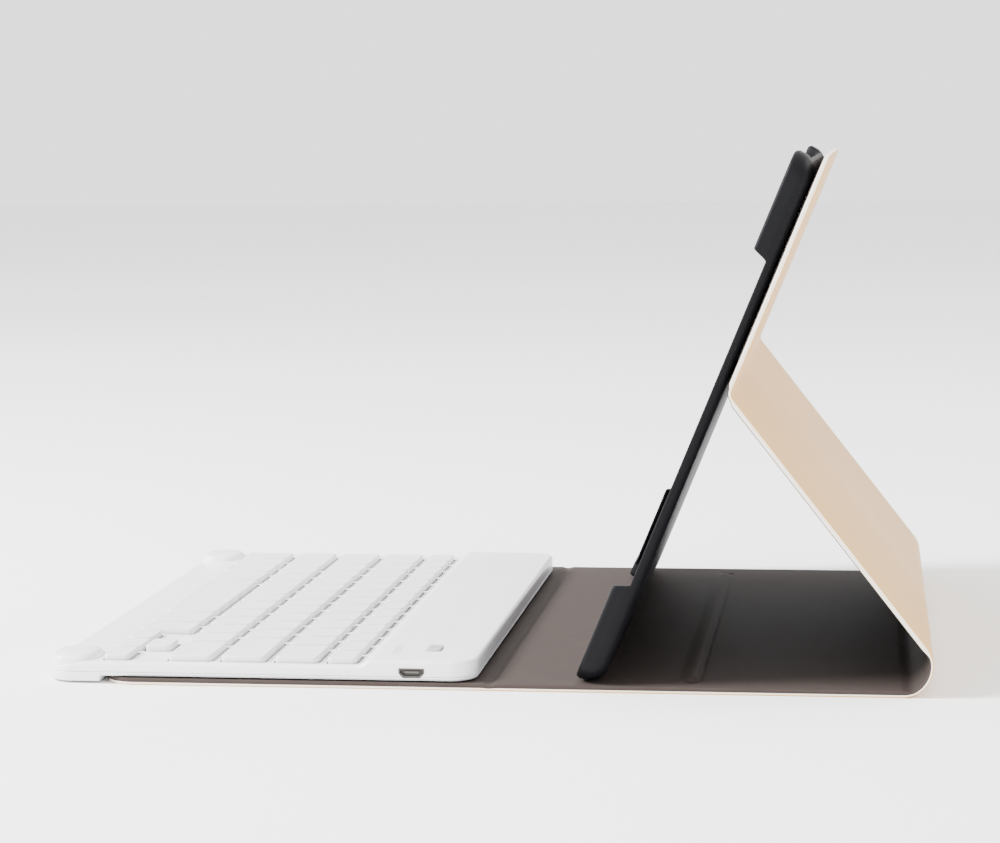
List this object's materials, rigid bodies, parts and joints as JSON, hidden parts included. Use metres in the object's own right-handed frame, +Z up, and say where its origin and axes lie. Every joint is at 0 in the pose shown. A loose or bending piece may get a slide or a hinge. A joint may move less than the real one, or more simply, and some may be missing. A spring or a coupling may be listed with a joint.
{
  "type": "tablet keyboard case",
  "caption": "Folding leather-look tablet cover standing open as an easel, with a black corner-grip tray and a slim white detachable keyboard on its front panel.",
  "frame": {"origin": "centre of the footprint on the surface that the case stands on, with the case open as a stand", "axes": "+X from the typist's edge towards the spine, +Y across the width towards the typist's left, +Z up"},
  "size_m": [0.2882, 0.254, 0.1713],
  "materials": {
    "leather_skin": "fine-grained champagne PU leather",
    "lining_cloth": "brushed taupe microfibre",
    "stiffener_board": "pressed grey board",
    "tray_black": "fine-grained black with a soft sheen",
    "adhesive": "double-sided sheet",
    "shell_white": "satin white",
    "keycap_white": "satin white",
    "steel": "plain",
    "polyester_film": "clear film",
    "clear_window": "frosted light window",
    "silicone": "soft",
    "battery_pouch": "foil pouch",
    "circuit_board": "solder mask",
    "switch_grey": "satin"
  },
  "bodies": {
    "base": {"base_skin": "leather_skin", "base_front_board": "stiffener_board", "base_rear_board": "stiffener_board", "base_lining": "lining_cloth"},
    "front_panel": {"front_panel_skin": "leather_skin", "front_panel_board": "stiffener_board", "front_panel_lining": "lining_cloth", "keyboard_keeper_plate": "steel"},
    "keyboard": {"keyboard_top_shell": "shell_white", "keyboard_bottom_shell": "shell_white", "key_support_plate": "steel", "key_membrane": "polyester_film", "key_dome_sheet": "silicone", "battery": "battery_pouch", "main_circuit_board": "circuit_board", "charging_port": "steel", "indicator_window": "clear_window", "power_switch_body": "steel", "chin_foot_near": "silicone", "chin_foot_far": "silicone"},
    "power_switch": {"power_switch_knob": "switch_grey"},
    "spine": {"spine_skin": "leather_skin", "spine_lining": "lining_cloth"},
    "lower_back": {"lower_back_skin": "leather_skin", "lower_back_board": "stiffener_board", "lower_back_lining": "lining_cloth"},
    "upper_back": {"upper_back_skin": "leather_skin", "upper_back_board": "stiffener_board", "upper_back_lining": "lining_cloth", "tray_adhesive_sheet": "adhesive", "tray_shell": "tray_black"},
    "key_alt": {"key_alt": "keycap_white"},
    "key_arrow_down": {"key_arrow_down": "keycap_white"},
    "key_arrow_left": {"key_arrow_left": "keycap_white"},
    "key_arrow_right": {"key_arrow_right": "keycap_white"},
    "key_arrow_up": {"key_arrow_up": "keycap_white"},
    "key_backspace": {"key_backspace": "keycap_white"},
    "key_caps_lock": {"key_caps_lock": "keycap_white"},
    "key_command_left": {"key_command_left": "keycap_white"},
    "key_command_right": {"key_command_right": "keycap_white"},
    "key_control": {"key_control": "keycap_white"},
    "key_enter": {"key_enter": "keycap_white"},
    "key_escape": {"key_escape": "keycap_white"},
    "key_function": {"key_function": "keycap_white"},
    "key_option_right": {"key_option_right": "keycap_white"},
    "key_shift_left": {"key_shift_left": "keycap_white"},
    "key_shift_right": {"key_shift_right": "keycap_white"},
    "key_space": {"key_space": "keycap_white"},
    "key_tab": {"key_tab": "keycap_white"},
    "keys_bottom_letters": {"keys_bottom_letters": "keycap_white"},
    "keys_home_letters": {"keys_home_letters": "keycap_white"},
    "keys_numbers": {"keys_numbers": "keycap_white"},
    "keys_top_letters": {"keys_top_letters": "keycap_white"}
  },
  "joints": [
    {"name": "front_fold", "type": "hinge", "parent": "base", "child": "front_panel", "pos_m": [0.00228, 0, 0.00025], "axis": [0, 1, 0], "range_deg": [0, 60]},
    {"name": "keyboard_lift", "type": "slide", "parent": "front_panel", "child": "keyboard", "axis": [0, 0, 1], "range_m": [0, 0.03]},
    {"name": "spine_fold_1", "type": "hinge", "parent": "base", "child": "spine", "pos_m": [0.13827, 0, 0.00131], "axis": [0, 1, 0], "range_deg": [0, 64]},
    {"name": "spine_fold_2", "type": "hinge", "parent": "spine", "child": "lower_back", "pos_m": [0.14316, 0, 0.01135], "axis": [0, 1, 0], "range_deg": [0, 64]},
    {"name": "back_fold", "type": "hinge", "parent": "lower_back", "child": "upper_back", "pos_m": [0.07903, 0, 0.09516], "axis": [0, -1, 0], "range_deg": [0, 60.5]},
    {"name": "power_switch_slide", "type": "slide", "parent": "keyboard", "child": "power_switch", "axis": [0, 1, 0], "range_m": [0, 0.0028]},
    {"name": "key_alt_press", "type": "slide", "parent": "keyboard", "child": "key_alt", "axis": [0, 0, -1], "range_m": [0, 0.0013], "stiffness_N_per_m": 400, "springref_m": -0.0006},
    {"name": "key_arrow_down_press", "type": "slide", "parent": "keyboard", "child": "key_arrow_down", "axis": [0, 0, -1], "range_m": [0, 0.0013], "stiffness_N_per_m": 400, "springref_m": -0.0006},
    {"name": "key_arrow_left_press", "type": "slide", "parent": "keyboard", "child": "key_arrow_left", "axis": [0, 0, -1], "range_m": [0, 0.0013], "stiffness_N_per_m": 400, "springref_m": -0.0006},
    {"name": "key_arrow_right_press", "type": "slide", "parent": "keyboard", "child": "key_arrow_right", "axis": [0, 0, -1], "range_m": [0, 0.0013], "stiffness_N_per_m": 400, "springref_m": -0.0006},
    {"name": "key_arrow_up_press", "type": "slide", "parent": "keyboard", "child": "key_arrow_up", "axis": [0, 0, -1], "range_m": [0, 0.0013], "stiffness_N_per_m": 400, "springref_m": -0.0006},
    {"name": "key_backspace_press", "type": "slide", "parent": "keyboard", "child": "key_backspace", "axis": [0, 0, -1], "range_m": [0, 0.0013], "stiffness_N_per_m": 400, "springref_m": -0.0006},
    {"name": "key_caps_lock_press", "type": "slide", "parent": "keyboard", "child": "key_caps_lock", "axis": [0, 0, -1], "range_m": [0, 0.0013], "stiffness_N_per_m": 400, "springref_m": -0.0006},
    {"name": "key_command_left_press", "type": "slide", "parent": "keyboard", "child": "key_command_left", "axis": [0, 0, -1], "range_m": [0, 0.0013], "stiffness_N_per_m": 400, "springref_m": -0.0006},
    {"name": "key_command_right_press", "type": "slide", "parent": "keyboard", "child": "key_command_right", "axis": [0, 0, -1], "range_m": [0, 0.0013], "stiffness_N_per_m": 400, "springref_m": -0.0006},
    {"name": "key_control_press", "type": "slide", "parent": "keyboard", "child": "key_control", "axis": [0, 0, -1], "range_m": [0, 0.0013], "stiffness_N_per_m": 400, "springref_m": -0.0006},
    {"name": "key_enter_press", "type": "slide", "parent": "keyboard", "child": "key_enter", "axis": [0, 0, -1], "range_m": [0, 0.0013], "stiffness_N_per_m": 400, "springref_m": -0.0006},
    {"name": "key_escape_press", "type": "slide", "parent": "keyboard", "child": "key_escape", "axis": [0, 0, -1], "range_m": [0, 0.0013], "stiffness_N_per_m": 400, "springref_m": -0.0006},
    {"name": "key_function_press", "type": "slide", "parent": "keyboard", "child": "key_function", "axis": [0, 0, -1], "range_m": [0, 0.0013], "stiffness_N_per_m": 400, "springref_m": -0.0006},
    {"name": "key_option_right_press", "type": "slide", "parent": "keyboard", "child": "key_option_right", "axis": [0, 0, -1], "range_m": [0, 0.0013], "stiffness_N_per_m": 400, "springref_m": -0.0006},
    {"name": "key_shift_left_press", "type": "slide", "parent": "keyboard", "child": "key_shift_left", "axis": [0, 0, -1], "range_m": [0, 0.0013], "stiffness_N_per_m": 400, "springref_m": -0.0006},
    {"name": "key_shift_right_press", "type": "slide", "parent": "keyboard", "child": "key_shift_right", "axis": [0, 0, -1], "range_m": [0, 0.0013], "stiffness_N_per_m": 400, "springref_m": -0.0006},
    {"name": "key_space_press", "type": "slide", "parent": "keyboard", "child": "key_space", "axis": [0, 0, -1], "range_m": [0, 0.0013], "stiffness_N_per_m": 400, "springref_m": -0.0006},
    {"name": "key_tab_press", "type": "slide", "parent": "keyboard", "child": "key_tab", "axis": [0, 0, -1], "range_m": [0, 0.0013], "stiffness_N_per_m": 400, "springref_m": -0.0006},
    {"name": "keys_bottom_letters_press", "type": "slide", "parent": "keyboard", "child": "keys_bottom_letters", "axis": [0, 0, -1], "range_m": [0, 0.0013], "stiffness_N_per_m": 400, "springref_m": -0.0006},
    {"name": "keys_home_letters_press", "type": "slide", "parent": "keyboard", "child": "keys_home_letters", "axis": [0, 0, -1], "range_m": [0, 0.0013], "stiffness_N_per_m": 400, "springref_m": -0.0006},
    {"name": "keys_numbers_press", "type": "slide", "parent": "keyboard", "child": "keys_numbers", "axis": [0, 0, -1], "range_m": [0, 0.0013], "stiffness_N_per_m": 400, "springref_m": -0.0006},
    {"name": "keys_top_letters_press", "type": "slide", "parent": "keyboard", "child": "keys_top_letters", "axis": [0, 0, -1], "range_m": [0, 0.0013], "stiffness_N_per_m": 400, "springref_m": -0.0006}
  ],
  "couplings": [
    {"joint": "spine_fold_2", "follows": "spine_fold_1", "ratio": 1},
    {"joint": "back_fold", "follows": "spine_fold_1", "ratio": 0.94531}
  ]
}
